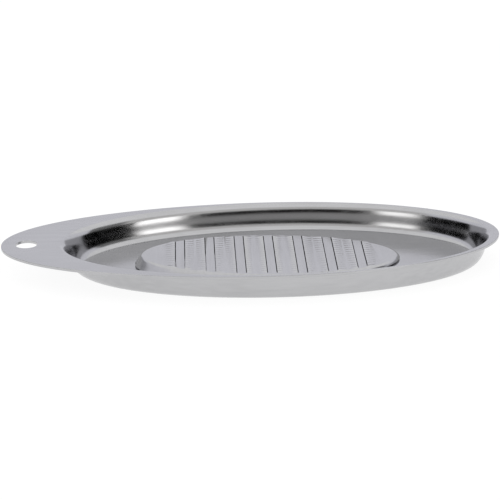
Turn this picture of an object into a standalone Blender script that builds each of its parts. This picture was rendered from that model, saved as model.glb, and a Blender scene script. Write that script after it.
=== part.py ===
"""Oval grater dish: a pressed steel dish with a hanging tab, and a raised grating plate standing on its floor.

Built in metres, +Z up. The origin is the middle of the bounding box, on the underside of the dish.
+X runs from the hanging tab to the round end. The dish and the plate are each symmetric across Y.
"""

import math

import bmesh
import bpy
import numpy as np
from mathutils import Matrix, Vector

MM = 0.001

# Overall size.
LENGTH = 160.0
SHEET = 0.9
FLOOR_DEPTH = 8.2
RIM_TOP = FLOOR_DEPTH + SHEET

# Plan of the rim: an oval a little fuller towards the round end.
# With x = LENGTH / 2 * cos(a), the half-width is sin(a) * (width + fullness * cos(a) - taper * cos(a)**3).
RIM_HALF_WIDTH = 34.5
RIM_FULLNESS = 2.1
RIM_TAPER = 0.9

# Mouth and flat floor of the bowl, both ellipses.
MOUTH_TAB_END = -61.5
MOUTH_ROUND_END = 77.6
MOUTH_HALF_WIDTH = 33.6
FLOOR_TAB_END = -54.5
FLOOR_ROUND_END = 72.2
FLOOR_HALF_WIDTH = 29.3

# Section of the bowl wall between them. The steepest lean is in degrees from level.
STEEPEST = 74.0
SECTION_STEPS = 10

# Hanging hole in the tab.
HOLE_X = -71.9
HOLE_DIAMETER = 6.9
HOLE_CUTTER_DEPTH = 6.0

# Grating plate: an oval table on a sloping edge. Its top falls slightly towards the round end.
PLATE_SHEET = 0.8
PLATE_MIDDLE = 6.1
PLATE_HALF_LENGTH = 42.0
PLATE_HALF_WIDTH = 19.3
PLATE_TOP_DEPTH = 5.5
PLATE_FALL = 0.027
EDGE_ANGLE = 56.0
SHOULDER_RADIUS = 1.4
PLATE_GAP = 0.3

# Rows of teeth. The slits go in pairs, and the teeth of a pair face each other across a plain land.
PAIRS = 7
PAIR_PITCH = 9.65
PAIRS_MIDDLE = 6.15
LAND_WIDTH = 3.0
LONGEST_SLIT = 33.8
SLIT_REACH = 0.93
SLIT_WIDTH = 0.3
TOOTH_PITCH = 1.85
TOOTH_LENGTH = 2.7
TOOTH_HEIGHT = 0.55
TOOTH_SETBACK = 0.06
TOOTH_ROOT = 0.3
TOOTH_HALF_WIDTH = 0.57
SLIT_CUTTER_HEIGHT = 4.0

AROUND = 112
SHOULDER_STEPS = 4
HOLE_SEGMENTS = 40


def clear_scene():
    for obj in list(bpy.data.objects):
        bpy.data.objects.remove(obj, do_unlink=True)


def steel(name, colour, roughness):
    material = bpy.data.materials.new(name)
    material.use_nodes = True
    shader = material.node_tree.nodes["Principled BSDF"]
    shader.inputs["Base Color"].default_value = (*colour, 1.0)
    shader.inputs["Roughness"].default_value = roughness
    shader.inputs["Metallic"].default_value = 1.0
    return material


def collection(name, helper=False):
    made = bpy.data.collections.new(name)
    bpy.context.scene.collection.children.link(made)
    made.hide_render = helper
    return made


def add_object(name, bm, group, helper=False):
    bmesh.ops.recalc_face_normals(bm, faces=bm.faces[:])
    mesh = bpy.data.meshes.new(name)
    bm.to_mesh(mesh)
    bm.free()
    obj = bpy.data.objects.new(name, mesh)
    group.objects.link(obj)
    if helper:
        obj.hide_render = True
        obj.display_type = "WIRE"
    return obj


def angles():
    return [2 * math.pi * i / AROUND for i in range(AROUND)]


def rim_ring():
    ring = []
    for a in angles():
        c = math.cos(a)
        width = RIM_HALF_WIDTH + RIM_FULLNESS * c - RIM_TAPER * c**3
        ring.append((LENGTH / 2 * c, width * math.sin(a)))
    return np.array(ring)


def ellipse(middle, half_length, half_width):
    return np.array([(middle + half_length * math.cos(a), half_width * math.sin(a)) for a in angles()])


def inward(ring):
    """Unit normals of a counter-clockwise ring, pointing to its inside."""
    along = np.roll(ring, -1, axis=0) - np.roll(ring, 1, axis=0)
    along /= np.linalg.norm(along, axis=1)[:, None]
    return np.stack([-along[:, 1], along[:, 0]], axis=1)


def rings_to_sheet(rings):
    """An open sheet: the first ring is filled, and each further ring is extruded from the one before it."""
    bm = bmesh.new()
    made = bmesh.ops.create_circle(bm, cap_ends=True, segments=AROUND, radius=1.0)
    verts = sorted(made["verts"], key=lambda v: math.atan2(v.co.y, v.co.x) % (2 * math.pi))
    edges = bm.edges[:]
    for vert, point in zip(verts, rings[0]):
        vert.co = Vector(point) * MM
    for ring in rings[1:]:
        grown = bmesh.ops.extrude_edge_only(bm, edges=edges)["geom"]
        edges = [g for g in grown if isinstance(g, bmesh.types.BMEdge)]
        fresh = {g for g in grown if isinstance(g, bmesh.types.BMVert)}
        edges = [e for e in edges if e.verts[0] in fresh and e.verts[1] in fresh]
        order = []
        for vert in verts:
            order.append(next(e.other_vert(vert) for e in vert.link_edges if e.other_vert(vert) in fresh))
        for vert, point in zip(order, ring):
            vert.co = Vector(point) * MM
        verts = order
    return bm


def at_height(ring, z):
    return np.column_stack([ring, np.broadcast_to(z, len(ring))])


def thicken(obj, thickness):
    """Grows the sheet downwards from its top face."""
    solid = obj.modifiers.new("Sheet thickness", "SOLIDIFY")
    solid.thickness = thickness * MM
    solid.offset = -1.0
    solid.use_even_offset = True


def cut(obj, cutter, operation="DIFFERENCE"):
    boolean = obj.modifiers.new(cutter.name, "BOOLEAN")
    boolean.operation = operation
    boolean.solver = "EXACT"
    boolean.object = cutter


def wall_section():
    """(share of the way in, share of the way down) from the mouth to the floor.

    The lean of the wall grows from nothing at the lip to its steepest, and eases off again into the floor.
    """
    points = [(0.0, 0.0)]
    for i in range(SECTION_STEPS):
        s = (i + 0.5) / SECTION_STEPS
        lean = math.radians(STEEPEST) * math.sqrt(math.sin(math.pi * s))
        points.append((points[-1][0] + math.cos(lean), points[-1][1] + math.sin(lean)))
    run, drop = points[-1]
    return [(x / run, z / drop) for x, z in points]


def oval(tab_end, round_end, half_width):
    return ellipse((tab_end + round_end) / 2, (round_end - tab_end) / 2, half_width)


def make_dish(group, helpers):
    mouth = oval(MOUTH_TAB_END, MOUTH_ROUND_END, MOUTH_HALF_WIDTH)
    floor = oval(FLOOR_TAB_END, FLOOR_ROUND_END, FLOOR_HALF_WIDTH)
    rings = []
    for share_in, share_down in reversed(wall_section()):
        rings.append(at_height(mouth + (floor - mouth) * share_in, RIM_TOP - FLOOR_DEPTH * share_down))
    rings.append(at_height(rim_ring(), RIM_TOP))
    bm = rings_to_sheet(rings)
    dish = add_object("dish", bm, group)
    if dish.data.polygons[0].normal.z < 0:
        dish.data.flip_normals()
    thicken(dish, SHEET)

    bm = bmesh.new()
    bmesh.ops.create_cone(
        bm,
        cap_ends=True,
        segments=HOLE_SEGMENTS,
        radius1=HOLE_DIAMETER / 2 * MM,
        radius2=HOLE_DIAMETER / 2 * MM,
        depth=HOLE_CUTTER_DEPTH * MM,
        matrix=Matrix.Translation((HOLE_X * MM, 0, RIM_TOP * MM)),
    )
    cut(dish, add_object("hanging_hole_cutter", bm, helpers, helper=True))
    dish.data.materials.append(steel("dish steel", (0.56, 0.56, 0.57), 0.22))
    return dish


def slits():
    """(x, half length, side of the teeth) of each slit. Towards the plate's ends the slits follow its outline."""
    found = []
    for pair in range(PAIRS):
        middle = PAIRS_MIDDLE + PAIR_PITCH * (pair - (PAIRS - 1) / 2)
        for side in (-1, 1):
            x = middle + side * LAND_WIDTH / 2
            across = (x - PLATE_MIDDLE) / PLATE_HALF_LENGTH
            room = SLIT_REACH * PLATE_HALF_WIDTH * math.sqrt(1 - across**2)
            found.append((x, min(LONGEST_SLIT / 2, room), side))
    return found


def plate_top(x):
    """Height of the plate's top face at this x."""
    return RIM_TOP - PLATE_TOP_DEPTH - PLATE_FALL * x


def make_plate(group, helpers):
    edge = ellipse(PLATE_MIDDLE, PLATE_HALF_LENGTH, PLATE_HALF_WIDTH)
    normal = inward(edge)
    lean = math.radians(EDGE_ANGLE)
    low = SHEET + PLATE_GAP + PLATE_SHEET * math.cos(lean)
    top = plate_top(edge[:, 0])
    rings = [at_height(edge + normal * SHOULDER_RADIUS, top)]
    for i in range(1, SHOULDER_STEPS + 1):
        a = lean * i / SHOULDER_STEPS
        run = SHOULDER_RADIUS * (1 - math.sin(a))
        rings.append(at_height(edge + normal * run, top - SHOULDER_RADIUS * (1 - math.cos(a))))
    last = rings[-1]
    fall = last[:, 2] - low
    run = SHOULDER_RADIUS * (1 - math.sin(lean)) - fall / math.tan(lean)
    rings.append(at_height(edge + normal * run[:, None], low))
    bm = rings_to_sheet(rings)
    plate = add_object("grating_plate", bm, group)
    if plate.data.polygons[0].normal.z < 0:
        plate.data.flip_normals()
    thicken(plate, PLATE_SHEET)

    bm = bmesh.new()
    for x, half, side in slits():
        place = Matrix.Translation((x * MM, 0, plate_top(x) * MM))
        size = Matrix.Diagonal((SLIT_WIDTH * MM, 2 * half * MM, SLIT_CUTTER_HEIGHT * MM, 1))
        bmesh.ops.create_cube(bm, size=1.0, matrix=place @ size)
    cut(plate, add_object("slit_cutters", bm, helpers, helper=True))

    bm = bmesh.new()
    for x, half, side in slits():
        count = int(2 * half / TOOTH_PITCH)
        for i in range(count):
            y = (i - (count - 1) / 2) * TOOTH_PITCH
            add_tooth(bm, x + side * (SLIT_WIDTH / 2 + TOOTH_SETBACK), y, side)
    cut(plate, add_object("teeth", bm, helpers, helper=True), "UNION")
    plate.data.materials.append(steel("grating plate steel", (0.55, 0.56, 0.58), 0.24))
    return plate


def add_tooth(bm, x, y, away):
    """One tooth: a small ridge, highest at the slit and running out on the plate away from it."""
    sunk = TOOTH_ROOT
    grown = (TOOTH_HEIGHT + sunk) / TOOTH_HEIGHT
    half = TOOTH_HALF_WIDTH * grown
    far = x + away * TOOTH_LENGTH * grown
    points = (
        (x, y - half, plate_top(x) - sunk),
        (x, y + half, plate_top(x) - sunk),
        (x, y, plate_top(x) + TOOTH_HEIGHT),
        (far, y, plate_top(far) - sunk),
    )
    verts = [bm.verts.new(Vector(p) * MM) for p in points]
    bmesh.ops.convex_hull(bm, input=verts)


clear_scene()
pieces = collection("oval grater dish")
cutters = collection("cutters", helper=True)
make_dish(pieces, cutters)
make_plate(pieces, cutters)
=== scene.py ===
"""Oval grater dish with a hanging tab: the finished look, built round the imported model.

Two pieces: the pressed satin steel dish, and the grating plate that stands on its floor.
Everything is in metres, +Z up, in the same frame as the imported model.
"""

import math

import bmesh
import bpy
from mathutils import Matrix, Vector


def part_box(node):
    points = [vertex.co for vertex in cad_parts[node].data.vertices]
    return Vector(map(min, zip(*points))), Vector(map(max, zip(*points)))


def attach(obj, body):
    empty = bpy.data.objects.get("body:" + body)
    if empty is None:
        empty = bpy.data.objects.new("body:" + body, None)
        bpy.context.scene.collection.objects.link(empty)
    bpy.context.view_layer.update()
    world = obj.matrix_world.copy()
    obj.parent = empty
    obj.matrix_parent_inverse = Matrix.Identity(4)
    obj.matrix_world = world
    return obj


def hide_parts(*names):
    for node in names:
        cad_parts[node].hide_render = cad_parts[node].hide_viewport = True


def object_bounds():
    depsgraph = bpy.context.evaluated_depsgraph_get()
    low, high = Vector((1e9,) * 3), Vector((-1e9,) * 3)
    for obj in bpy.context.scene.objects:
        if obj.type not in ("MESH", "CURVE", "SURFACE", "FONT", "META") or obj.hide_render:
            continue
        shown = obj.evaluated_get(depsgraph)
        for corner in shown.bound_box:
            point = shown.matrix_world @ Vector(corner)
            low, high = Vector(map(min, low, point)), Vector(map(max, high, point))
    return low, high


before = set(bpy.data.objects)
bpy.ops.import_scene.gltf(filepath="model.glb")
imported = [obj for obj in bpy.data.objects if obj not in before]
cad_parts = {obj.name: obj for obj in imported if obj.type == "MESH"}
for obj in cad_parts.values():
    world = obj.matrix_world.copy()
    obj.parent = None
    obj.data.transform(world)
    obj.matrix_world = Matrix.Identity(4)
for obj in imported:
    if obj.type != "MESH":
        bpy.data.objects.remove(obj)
cad_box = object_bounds()
dish_low, dish_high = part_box("dish")

MM = 0.001
UP = Vector((0, 0, 1))

# Pressed dish. The section of the bowl goes in and down from the mouth.
HALF_LENGTH = (dish_high.x - dish_low.x) / 2
RIM_TOP = dish_high.z
SHEET = 0.9 * MM
FLOOR = dish_low.z + SHEET
RIM_HALF_WIDTH = 34.5 * MM
RIM_FULLNESS = 2.1 * MM
RIM_TAPER = 0.9 * MM
MOUTH_TAB_END = -61.5 * MM
MOUTH_ROUND_END = 77.6 * MM
MOUTH_HALF_WIDTH = 33.6 * MM
FLOOR_TAB_END = -54.5 * MM
FLOOR_ROUND_END = 72.2 * MM
FLOOR_HALF_WIDTH = 29.3 * MM
STEEPEST = math.radians(74)
SECTION_STEPS = 26
HOLE_X = -71.9 * MM
HOLE_RADIUS = 3.45 * MM
HOLE_SEGMENTS = 56
HOLE_BORDER = 1.22
TAB_START = -55 * MM
LIP_BAND = 0.2 * MM
EDGE_BAND = 0.7 * MM
EDGE_SOFTNESS = 0.14 * MM
# Painted reflection: a band of lighter colour along the upper inner wall, with a slightly smoother finish.
WALL_PAINTED_SHEEN = 0.4
WALL_SHEEN_SPAN = 0.35

# Grating plate.
PLATE_SHEET = 0.8 * MM
PLATE_MIDDLE = 6.1 * MM
PLATE_HALF_LENGTH = 42.0 * MM
PLATE_HALF_WIDTH = 19.3 * MM
PLATE_TOP = RIM_TOP - 5.5 * MM
PLATE_FALL = 0.027
PLATE_LEAN = math.radians(56)
SHOULDER_RADIUS = 1.4 * MM
SHOULDER_STEPS = 8
EDGE_SHARES = (0.35, 0.7, 1.0)
FOOT_GAP = 0.04 * MM

# Rows of teeth. The slits go in pairs, and the teeth of a pair face each other across a plain land.
PAIRS = 7
PAIR_PITCH = 9.65 * MM
PAIRS_MIDDLE = 6.15 * MM
LAND_WIDTH = 3.0 * MM
LONGEST_SLIT = 33.8 * MM
SLIT_REACH = 0.93
SLIT_WIDTH = 0.3 * MM
TOOTH_PITCH = 1.85 * MM
TOOTH_LENGTH = 2.7 * MM
TOOTH_HEIGHT = 0.32 * MM
ROWS_PER_TOOTH = 8
COLUMNS_PER_TOOTH = 6
RIDGE_POWER = 0.8

AROUND = 240
SUPPORT_BAND = 0.3 * MM
SHARP_ANGLE = math.radians(40)
SAME_PLACE = 1e-6

# Studio. Azimuth 0 is the near side and 90 the round end.
WHITE = (1.0, 1.0, 1.0)
WARM = (1.0, 0.99, 0.97)
COOL = (1.0, 1.0, 1.06)

# (azimuth, half width, lowest, highest, brightness, tint), angles in degrees. Overhead, three parts of the
# upper wall, the lower wall behind in two rows, then the near side and its two boxes.
STUDIO_LIGHTS = (
    (0, 180, 40, 90, 1.05, WHITE),
    (0, 54, 24, 40, 0.75, WARM),
    (72, 18, 24, 40, 0.2, WHITE),
    (198, 108, 24, 40, 0.9, COOL),
    (180, 80, 0, 24, 0.4, COOL),
    (180, 27, 0, 24, 0.45, COOL),
    (0, 45, 0, 10, 0.4, WARM),
    (36, 9, 10, 24, 2.6, WARM),
    (324, 9, 10, 24, 2.0, WARM),
)
STUDIO_SOFTNESS = 3
STUDIO_REACH = 12.0

# Camera. The offset is from the camera to the middle of the rim's plane: right, down and ahead.
CAMERA_PITCH = math.radians(20.4)
CAMERA_YAW = math.radians(1.7)
CAMERA_ROLL = math.radians(1.07)
CAMERA_OFFSET = Vector((0.2, -3.9, 642.6)) * MM
CAMERA_LENS = 144.0
CAMERA_SENSOR = 36.0


def add_piece(name, bm, material):
    bmesh.ops.recalc_face_normals(bm, faces=bm.faces[:])
    for face in bm.faces:
        face.smooth = True
    for line in bm.edges:
        line.smooth = line.calc_face_angle(0) < SHARP_ANGLE
    mesh = bpy.data.meshes.new(name)
    bm.to_mesh(mesh)
    bm.free()
    mesh.materials.append(material)
    piece = bpy.data.objects.new(name, mesh)
    bpy.context.scene.collection.objects.link(piece)
    return piece


def soften_edges(piece, width):
    """Small rounds on the cut edges, with flat faces kept flat."""
    bevel = piece.modifiers.new("Soft cut edges", "BEVEL")
    bevel.width = width
    bevel.segments = 3
    bevel.limit_method = "ANGLE"
    bevel.angle_limit = math.radians(50)
    bevel.harden_normals = True


def oval_face(bm, middle, half_length, half_width, z):
    """A filled oval. Returns its vertices in order round +Z, starting at the +X end."""
    place = Matrix.Translation((middle, 0, z)) @ Matrix.Diagonal((half_length, half_width, 1, 1))
    made = bmesh.ops.create_circle(bm, cap_ends=True, segments=AROUND, radius=1.0, matrix=place)
    for face in bm.faces:
        face.normal_update()
        if face.normal.z < 0:
            face.normal_flip()

    def turn(vert):
        return math.atan2(vert.co.y / half_width, (vert.co.x - middle) / half_length)

    return sorted(made["verts"], key=lambda vert: round(turn(vert), 6) % (2 * math.pi))


def extrude_ring(bm, ring, place):
    """Extrudes a closed ring of vertices and moves the copy of number i to place(i)."""
    edges = [bm.edges.get(pair) for pair in zip(ring, ring[1:] + ring[:1])]
    grown = bmesh.ops.extrude_edge_only(bm, edges=edges)["geom"]
    fresh = {g for g in grown if isinstance(g, bmesh.types.BMVert)}
    copies = []
    for vert in ring:
        copies.append(next(e.other_vert(vert) for e in vert.link_edges if e.other_vert(vert) in fresh))
    for i, vert in enumerate(copies):
        vert.co = place(i)
    return copies


def outward(ring):
    """Flat unit normals of a ring of points, away from its inside."""
    found = []
    for before, after in zip(ring[-1:] + ring[:-1], ring[1:] + ring[:1]):
        along = after - before
        found.append(Vector((along.y, -along.x, 0)).normalized())
    return found


def rim_outline():
    ring = []
    for i in range(AROUND):
        a = 2 * math.pi * i / AROUND
        c = math.cos(a)
        width = RIM_HALF_WIDTH + RIM_FULLNESS * c - RIM_TAPER * c**3
        ring.append(Vector((HALF_LENGTH * c, width * math.sin(a), RIM_TOP)))
    return ring


def arc_steps(radius, start, end, count):
    """(run, drop) of each short step along a round that goes from one lean to another."""
    leans = [start + (end - start) * i / count for i in range(count + 1)]
    steps = []
    for a, b in zip(leans, leans[1:]):
        steps.append((radius * abs(math.sin(b) - math.sin(a)), radius * abs(math.cos(a) - math.cos(b))))
    return steps


def bowl_section():
    """(share of the way in, share of the way down) from the mouth to the floor.

    The lean of the wall grows from nothing at the lip to its steepest, and eases off again into the floor.
    """
    points = [(0.0, 0.0)]
    for i in range(SECTION_STEPS):
        s = (i + 0.5) / SECTION_STEPS
        lean = STEEPEST * math.sqrt(math.sin(math.pi * s))
        points.append((points[-1][0] + math.cos(lean), points[-1][1] + math.sin(lean)))
    run, drop = points[-1]
    return [(a / run, b / drop) for a, b in points]


def oval(tab_end, round_end, half_width):
    middle, reach = (round_end + tab_end) / 2, (round_end - tab_end) / 2
    turns = [2 * math.pi * i / AROUND for i in range(AROUND)]
    return [Vector((middle + reach * math.cos(a), half_width * math.sin(a), 0)) for a in turns]


def make_dish(material):
    bm = bmesh.new()
    polish_and_painted_sheen = bm.verts.layers.float.new("polish_and_painted_sheen")
    foot = oval(FLOOR_TAB_END, FLOOR_ROUND_END, FLOOR_HALF_WIDTH)
    mouth = oval(MOUTH_TAB_END, MOUTH_ROUND_END, MOUTH_HALF_WIDTH)
    foot_away = outward(foot)

    # The flat floor, a narrow supporting ring, then the wall ring by ring up to the mouth.
    middle, reach = (FLOOR_ROUND_END + FLOOR_TAB_END) / 2, (FLOOR_ROUND_END - FLOOR_TAB_END) / 2
    ring = oval_face(bm, middle, reach, FLOOR_HALF_WIDTH, FLOOR)
    for i, vert in enumerate(ring):
        vert.co -= foot_away[i] * SUPPORT_BAND
    for share_in, share_down in reversed(bowl_section()):
        z = RIM_TOP - (RIM_TOP - FLOOR) * share_down

        def at_section(i, share_in=share_in, z=z):
            point = mouth[i].lerp(foot[i], share_in)
            return Vector((point.x, point.y, z))

        ring = extrude_ring(bm, ring, at_section)
        for vert in ring:
            # Painted reflection: this band of the wall gets a lighter colour, peaking a third of the way in
            # from the mouth.
            vert[polish_and_painted_sheen] = WALL_PAINTED_SHEEN * max(0.0, 1 - abs(share_in / WALL_SHEEN_SPAN - 1))

    # Flat rim, out from the mouth: a narrow supporting ring, the band along the edge, then the edge itself.
    outline = rim_outline()
    rim_away = outward(outline)
    lip = [vert.co.copy() for vert in ring]
    away = outward(lip)
    gap_lip = [min((p - q).length for q in outline) for p in lip]
    gap_rim = [min((p - q).length for q in lip) for p in outline]
    lip_band = [min(LIP_BAND, 0.3 * gap) for gap in gap_lip]
    edge_band = [min(EDGE_BAND, 0.4 * gap) for gap in gap_rim]
    by_mouth = extrude_ring(bm, ring, lambda i: lip[i] + away[i] * lip_band[i])
    by_edge = extrude_ring(bm, by_mouth, lambda i: outline[i] - rim_away[i] * edge_band[i])
    for vert in (*by_mouth, *by_edge):
        vert[polish_and_painted_sheen] = 0.0
    extrude_ring(bm, by_edge, lambda i: outline[i])

    # Hanging hole: the tab is opened, and filled again round the hole.
    ring_of_tab = set(by_mouth) | set(by_edge)
    tab = [f for f in bm.faces if set(f.verts) <= ring_of_tab and f.calc_center_median().x < TAB_START]
    border = [e for f in tab for e in f.edges if sum(g in tab for g in e.link_faces) == 1]
    bmesh.ops.delete(bm, geom=tab, context="FACES_KEEP_BOUNDARY")
    place = Matrix.Translation((HOLE_X, 0, RIM_TOP))
    hole = bmesh.ops.create_circle(bm, segments=HOLE_SEGMENTS, radius=HOLE_RADIUS, matrix=place)["verts"]
    hole.sort(key=lambda v: math.atan2(v.co.y, v.co.x - HOLE_X))
    # Lighter colour and a smoother finish at the hole's edge, fading out across its border.
    for vert in hole:
        vert[polish_and_painted_sheen] = 1.0
    centre = Vector((HOLE_X, 0, RIM_TOP))
    round_hole = extrude_ring(bm, hole, lambda i: centre + (hole[i].co - centre) * HOLE_BORDER)
    for vert in round_hole:
        vert[polish_and_painted_sheen] = 0.0
    border += [bm.edges.get(pair) for pair in zip(round_hole, round_hole[1:] + round_hole[:1])]
    bmesh.ops.triangle_fill(bm, use_beauty=True, edges=border, normal=UP)

    dish = add_piece("dish_look", bm, material)
    if max(dish.data.polygons, key=lambda p: p.area).normal.z < 0:
        dish.data.flip_normals()
    sheet = dish.modifiers.new("Sheet", "SOLIDIFY")
    sheet.thickness = SHEET
    sheet.offset = -1.0
    sheet.use_even_offset = True
    soften_edges(dish, EDGE_SOFTNESS)
    return dish


def slits():
    """(x, half length, side of the teeth) of each slit. Near the plate's ends they follow its outline."""
    found = []
    for pair in range(PAIRS):
        middle = PAIRS_MIDDLE + PAIR_PITCH * (pair - (PAIRS - 1) / 2)
        for side in (-1, 1):
            x = middle + side * LAND_WIDTH / 2
            across = (x - PLATE_MIDDLE) / PLATE_HALF_LENGTH
            room = SLIT_REACH * PLATE_HALF_WIDTH * math.sqrt(1 - across**2)
            found.append((x, min(LONGEST_SLIT / 2, room), side))
    return found


def teeth_in_row(half):
    return 2 * int(half / TOOTH_PITCH)


def plate_top(x):
    """Height of the plate's top face at this x."""
    return PLATE_TOP - PLATE_FALL * x


def slice_faces(bm, faces, point, normal):
    geom = list({g for f in faces for g in (f, *f.edges, *f.verts)})
    bmesh.ops.bisect_plane(bm, geom=geom, dist=1e-7, plane_co=point, plane_no=normal)


def between(faces, low, high):
    """The faces whose middle is between two values of x."""
    return [f for f in faces if low < f.calc_center_bounds().x < high]


def make_plate(material):
    bm = bmesh.new()
    polish_and_painted_sheen = bm.verts.layers.float.new("polish_and_painted_sheen")
    ring = oval_face(bm, PLATE_MIDDLE, PLATE_HALF_LENGTH, PLATE_HALF_WIDTH, 0)
    edge = [v.co.copy() for v in ring]
    away = outward(edge)

    def at(i, inside, drop):
        point = edge[i] - away[i] * inside
        return Vector((point.x, point.y, plate_top(point.x) - drop))

    for i, vert in enumerate(ring):
        vert.co = at(i, SHOULDER_RADIUS + SUPPORT_BAND, 0)
    ring = extrude_ring(bm, ring, lambda i: at(i, SHOULDER_RADIUS, 0))
    inside, drop = SHOULDER_RADIUS, 0.0
    for run, fall in arc_steps(SHOULDER_RADIUS, 0, PLATE_LEAN, SHOULDER_STEPS):
        inside -= run
        drop += fall
        ring = extrude_ring(bm, ring, lambda i: at(i, inside, drop))
    low = FLOOR + FOOT_GAP + PLATE_SHEET * math.cos(PLATE_LEAN)
    shoulder = [v.co.copy() for v in ring]
    for share in EDGE_SHARES:

        def foot(i, share=share):
            fall = (shoulder[i].z - low) * share
            return shoulder[i] + away[i] * fall / math.tan(PLATE_LEAN) - UP * fall

        ring = extrude_ring(bm, ring, foot)

    # Lines of the slits and of the teeth beside them, scored into the flat top.
    reach = SLIT_WIDTH / 2 + TOOTH_LENGTH
    for x, half, side in slits():
        for line in (x - SLIT_WIDTH / 2, x + SLIT_WIDTH / 2, x + side * reach):
            top = [f for f in bm.faces if len(f.verts) > 4]
            slice_faces(bm, top, (line, 0, 0), (1, 0, 0))
    for x, half, side in slits():
        ends = sorted((x - side * SLIT_WIDTH / 2, x + side * reach))
        for end in (-half, half):
            flat = [f for f in bm.faces if f.normal.z > 0.99]
            slice_faces(bm, between(flat, *ends), (0, end, 0), (0, 1, 0))

    # Each row of teeth gets its own fine grid of faces.
    openings = []
    rows = []
    for x, half, side in slits():
        count = teeth_in_row(half)
        flat = [f for f in bm.faces if f.normal.z > 0.99 and abs(f.calc_center_bounds().y) < 0.5 * MM]
        openings += between(flat, x - SLIT_WIDTH / 2, x + SLIT_WIDTH / 2)
        low_x, high_x = sorted((x + side * SLIT_WIDTH / 2, x + side * reach))
        strip = between(flat, low_x, high_x)
        rows.append((strip[0], low_x, high_x, half, count))
    bmesh.ops.delete(bm, geom=openings, context="FACES")
    for strip, low_x, high_x, half, count in rows:
        sides = [e for e in strip.edges if abs(e.verts[0].co.x - e.verts[1].co.x) < 1e-7]
        bmesh.ops.subdivide_edges(bm, edges=sides, cuts=count * ROWS_PER_TOOTH - 1)
        across = []
        for e in bm.edges:
            first, second = sorted((e.verts[0].co, e.verts[1].co), key=lambda co: co.x)
            level = abs(first.y - second.y) < 1e-7 and abs(first.y) < half + SAME_PLACE
            if level and abs(first.x - low_x) < SAME_PLACE and abs(second.x - high_x) < SAME_PLACE:
                across.append(e)
        bmesh.ops.subdivide_edges(bm, edges=across, cuts=COLUMNS_PER_TOOTH - 1)

    # Thickness, then the teeth are raised from the top face only.
    bmesh.ops.recalc_face_normals(bm, faces=bm.faces[:])
    if max(bm.faces, key=lambda f: f.calc_area()).normal.z < 0:
        bmesh.ops.reverse_faces(bm, faces=bm.faces[:])
    bmesh.ops.solidify(bm, geom=bm.faces[:], thickness=PLATE_SHEET)
    for x, half, side in slits():
        count = teeth_in_row(half)
        pitch = 2 * half / count
        for vert in bm.verts:
            away_from_slit = (vert.co.x - x) * side - SLIT_WIDTH / 2
            on_top = abs(vert.co.z - plate_top(vert.co.x)) < 0.05 * MM
            if not on_top or abs(vert.co.y) > half or not -SAME_PLACE < away_from_slit < TOOTH_LENGTH:
                continue
            ridge = (1 - math.cos(2 * math.pi * (vert.co.y + half) / pitch)) / 2
            fade = 1 - away_from_slit / TOOTH_LENGTH
            height = ridge**RIDGE_POWER * fade
            # Painted highlight: each tooth's colour is lightened by its height, brightest on the crests.
            vert[polish_and_painted_sheen] = height
            vert.co.z += TOOTH_HEIGHT * height
    return add_piece("grating_plate_look", bm, material)


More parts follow.
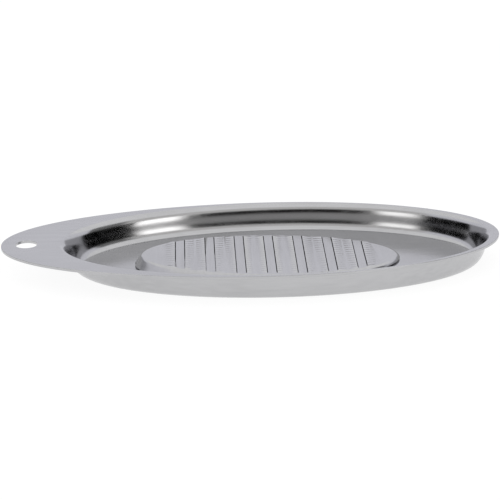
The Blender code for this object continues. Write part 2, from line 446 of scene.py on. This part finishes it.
def steel(name, colour, grain_along):
    """Satin stainless sheet: fine rolling grain, faint handling marks, and a smoother finish with a painted
    sheen (lighter colour) where the polish_and_painted_sheen attribute is set.
    """
    material = bpy.data.materials.new(name)
    material.use_nodes = True
    nodes = material.node_tree.nodes
    links = material.node_tree.links
    shader = nodes["Principled BSDF"]
    shader.inputs["Metallic"].default_value = 1.0
    place = nodes.new("ShaderNodeTexCoord")

    def noise(scale, detail, stretch=(1, 1, 1), roughness=0.5):
        mapping = nodes.new("ShaderNodeMapping")
        mapping.inputs["Scale"].default_value = stretch
        links.new(place.outputs["Object"], mapping.inputs["Vector"])
        texture = nodes.new("ShaderNodeTexNoise")
        texture.inputs["Scale"].default_value = scale
        texture.inputs["Detail"].default_value = detail
        texture.inputs["Roughness"].default_value = roughness
        links.new(mapping.outputs["Vector"], texture.inputs["Vector"])
        return texture.outputs["Fac"]

    def spread(value, low, high, to_low, to_high):
        node = nodes.new("ShaderNodeMapRange")
        node.interpolation_type = "SMOOTHSTEP"
        links.new(value, node.inputs["Value"])
        for socket, number in zip(("From Min", "From Max", "To Min", "To Max"), (low, high, to_low, to_high)):
            node.inputs[socket].default_value = number
        return node.outputs["Result"]

    def math_node(operation, a, b):
        node = nodes.new("ShaderNodeMath")
        node.operation = operation
        for socket, value in zip(node.inputs, (a, b)):
            if isinstance(value, (int, float)):
                socket.default_value = value
            else:
                links.new(value, socket)
        return node.outputs["Value"]

    rolling = noise(900, 4, (0.05, 1, 1) if grain_along == "X" else (1, 0.05, 1))
    speckle = noise(5200, 2)
    cloud = noise(38, 3)
    marks = noise(160, 6, (0.35, 1, 1), 0.62)
    polish_and_sheen_node = nodes.new("ShaderNodeAttribute")
    polish_and_sheen_node.attribute_name = "polish_and_painted_sheen"

    shade = math_node("ADD", spread(cloud, 0.3, 0.7, 0.0, 0.5), spread(rolling, 0.3, 0.7, 0.0, 0.5))
    # Painted sheen: the attribute lightens the base colour, standing in for reflected light.
    shade = math_node("ADD", shade, math_node("MULTIPLY", polish_and_sheen_node.outputs["Fac"], 0.8))
    ramp = nodes.new("ShaderNodeValToRGB")
    dark = [c * 0.95 for c in colour]
    light = [min(1.0, c * 1.06) for c in colour]
    ramp.color_ramp.elements[0].color = (*dark, 1)
    ramp.color_ramp.elements[1].color = (*light, 1)
    links.new(shade, ramp.inputs["Fac"])
    links.new(ramp.outputs["Color"], shader.inputs["Base Color"])

    rough = math_node("ADD", spread(marks, 0.35, 0.75, 0.15, 0.21), spread(rolling, 0.3, 0.7, -0.01, 0.02))
    # The same attribute also makes the surface slightly smoother, a real polish.
    rough = math_node("SUBTRACT", rough, math_node("MULTIPLY", polish_and_sheen_node.outputs["Fac"], 0.05))
    links.new(rough, shader.inputs["Roughness"])

    relief = math_node("ADD", math_node("MULTIPLY", rolling, 0.6), math_node("MULTIPLY", speckle, 0.4))
    bump = nodes.new("ShaderNodeBump")
    bump.inputs["Strength"].default_value = 0.05
    bump.inputs["Distance"].default_value = 0.02 * MM
    links.new(relief, bump.inputs["Height"])
    links.new(bump.outputs["Normal"], shader.inputs["Normal"])
    return material


def make_floor():
    bm = bmesh.new()
    bmesh.ops.create_grid(bm, x_segments=1, y_segments=1, size=STUDIO_REACH)
    for vert in bm.verts:
        vert.co.z = cad_box[0].z
    material = bpy.data.materials.new("pale studio floor")
    material.use_nodes = True
    shader = material.node_tree.nodes["Principled BSDF"]
    shader.inputs["Base Color"].default_value = (0.15, 0.15, 0.15, 1)
    shader.inputs["Roughness"].default_value = 0.9
    shader.inputs["Specular IOR Level"].default_value = 0.0
    shader.inputs["Emission Color"].default_value = (1, 1, 1, 1)
    shader.inputs["Emission Strength"].default_value = 0.9
    floor = add_piece("studio_floor", bm, material)


def make_studio():
    """Soft white surroundings with two brighter boxes at the near corners. A row lights one patch."""
    world = bpy.data.worlds.new("soft studio")
    bpy.context.scene.world = world
    world.use_nodes = True
    nodes = world.node_tree.nodes
    links = world.node_tree.links

    def join(kind, operation, values, output):
        node = nodes.new(kind)
        node.operation = operation
        for socket, value in zip(node.inputs, values):
            if isinstance(value, bpy.types.NodeSocket):
                links.new(value, socket)
            else:
                socket.default_value = value
        return node.outputs[output]

    def step(value, low, high):
        node = nodes.new("ShaderNodeMapRange")
        node.interpolation_type = "SMOOTHSTEP"
        links.new(value, node.inputs["Value"])
        node.inputs["From Min"].default_value = low
        node.inputs["From Max"].default_value = high
        return node.outputs["Result"]

    direction = nodes.new("ShaderNodeTexCoord").outputs["Generated"]
    parts = nodes.new("ShaderNodeSeparateXYZ")
    links.new(direction, parts.inputs["Vector"])
    elevation = join("ShaderNodeMath", "ARCSINE", (parts.outputs["Z"],), "Value")
    level = join("ShaderNodeVectorMath", "MULTIPLY", (direction, (1, 1, 0)), "Vector")
    level = join("ShaderNodeVectorMath", "NORMALIZE", (level,), "Vector")

    total = None
    for azimuth, half_width, lowest, highest, brightness, tint in STUDIO_LIGHTS:
        share = step(elevation, *(math.radians(lowest + d) for d in (-STUDIO_SOFTNESS, STUDIO_SOFTNESS)))
        if highest < 90:
            above = step(elevation, *(math.radians(highest + d) for d in (-STUDIO_SOFTNESS, STUDIO_SOFTNESS)))
            share = join("ShaderNodeMath", "SUBTRACT", (share, above), "Value")
        if half_width < 180:
            a = math.radians(azimuth)
            aim = (math.sin(a), -math.cos(a), 0)
            dot = join("ShaderNodeVectorMath", "DOT_PRODUCT", (level, aim), "Value")
            edges = (math.cos(math.radians(half_width + d)) for d in (STUDIO_SOFTNESS, -STUDIO_SOFTNESS))
            share = join("ShaderNodeMath", "MULTIPLY", (share, step(dot, *edges)), "Value")
        glow = nodes.new("ShaderNodeVectorMath")
        glow.operation = "SCALE"
        glow.inputs[0].default_value = [brightness * c for c in tint]
        links.new(share, glow.inputs["Scale"])
        glow = glow.outputs["Vector"]
        total = glow if total is None else join("ShaderNodeVectorMath", "ADD", (total, glow), "Vector")
    links.new(total, nodes["Background"].inputs["Color"])
    nodes["Background"].inputs["Strength"].default_value = 1.0


def make_camera():
    data = bpy.data.cameras.new("camera")
    data.lens = CAMERA_LENS
    data.sensor_width = CAMERA_SENSOR
    data.clip_end = 50.0
    ahead = Vector((0, math.cos(CAMERA_PITCH), -math.sin(CAMERA_PITCH)))
    down = Vector((0, -math.sin(CAMERA_PITCH), -math.cos(CAMERA_PITCH)))
    axes = Matrix((Vector((1, 0, 0)), down, ahead)) @ Matrix.Rotation(CAMERA_YAW, 3, "Z")
    axes = Matrix.Rotation(-CAMERA_ROLL, 3, "Z") @ axes
    eye = -(axes.transposed() @ CAMERA_OFFSET) + UP * RIM_TOP
    camera = bpy.data.objects.new("camera", data)
    turned = Matrix((axes[0], -axes[1], -axes[2])).transposed()
    camera.matrix_world = Matrix.Translation(eye) @ turned.to_4x4()
    bpy.context.scene.collection.objects.link(camera)
    bpy.context.scene.camera = camera


dish = make_dish(steel("satin dish steel", (0.47, 0.47, 0.48), "X"))
plate = make_plate(steel("satin plate steel", (0.47, 0.47, 0.48), "Y"))
for piece, node, slot in ((dish, "dish", "dish_steel"), (plate, "grating_plate", "plate_steel")):
    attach(piece, "root")
    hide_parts(node)

make_floor()
make_studio()
make_camera()
bpy.context.scene.view_settings.view_transform = "Standard"
